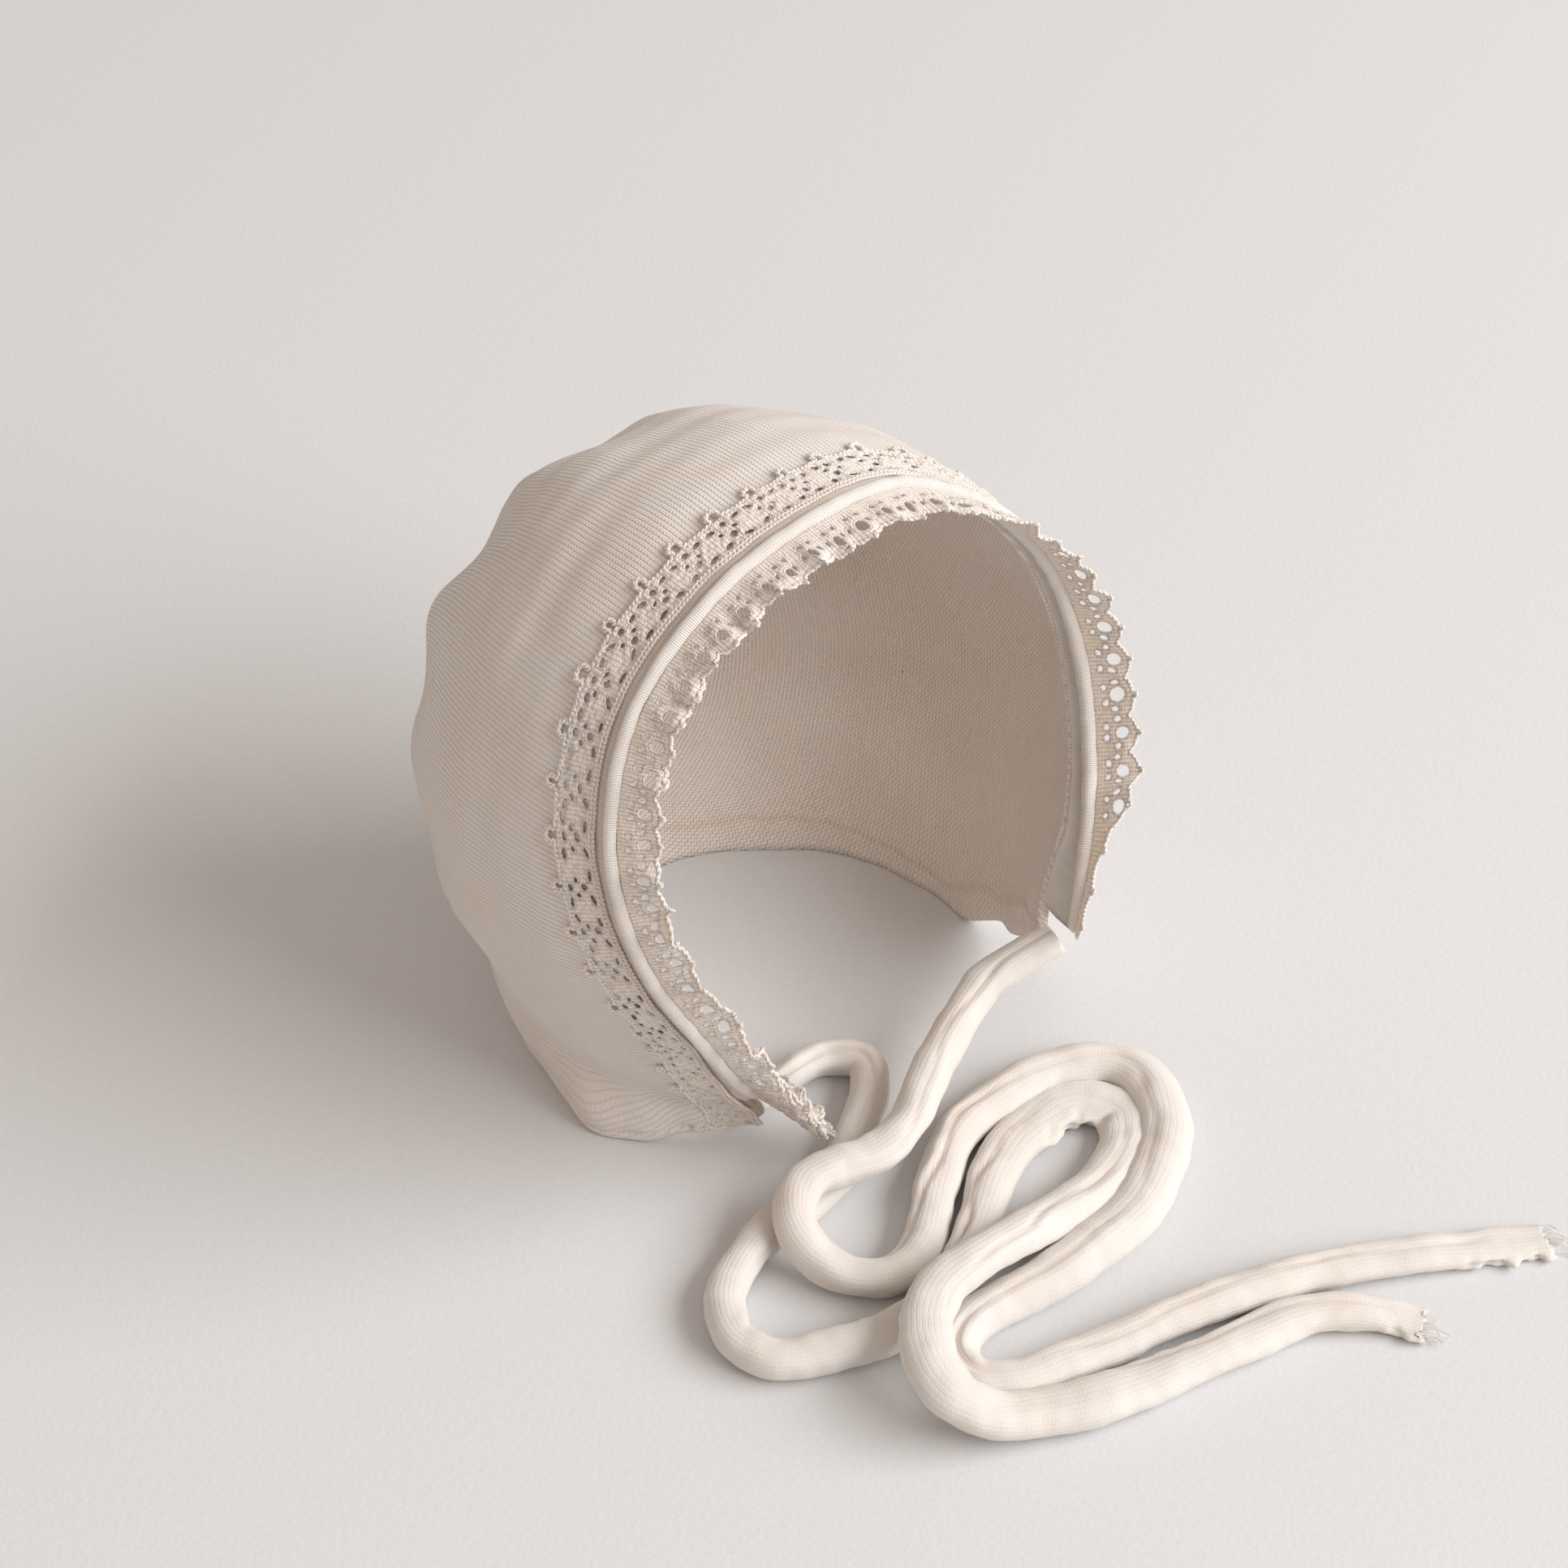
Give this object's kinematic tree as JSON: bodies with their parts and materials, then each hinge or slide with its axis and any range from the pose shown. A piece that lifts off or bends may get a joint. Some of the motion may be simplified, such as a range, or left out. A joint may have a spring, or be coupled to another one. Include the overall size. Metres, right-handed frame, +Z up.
{
  "type": "baby bonnet with two ties",
  "caption": "Newborn's gathered jersey bonnet with a piped, lace-edged face opening, lying on its hem with its rolled ties spread in front.",
  "frame": {"origin": "middle of the bonnet's footprint without the ties, on the surface that it rests on", "axes": "+Z up, the face opening looks along -Y, +X towards the wearer's left cheek"},
  "size_m": [0.1319, 0.2134, 0.1262],
  "materials": {
    "jersey": "fine ribbed cotton jersey, matt",
    "piping": "tightly folded cotton jersey, matt",
    "lace": "cotton crochet lace, matt",
    "tie": "rolled cotton jersey, matt"
  },
  "bodies": {
    "root": {"jersey_body": "jersey", "rim_piping": "piping", "outer_lace": "lace", "front_lace": "lace", "tie_left": "tie", "tie_right": "tie"}
  },
  "joints": []
}
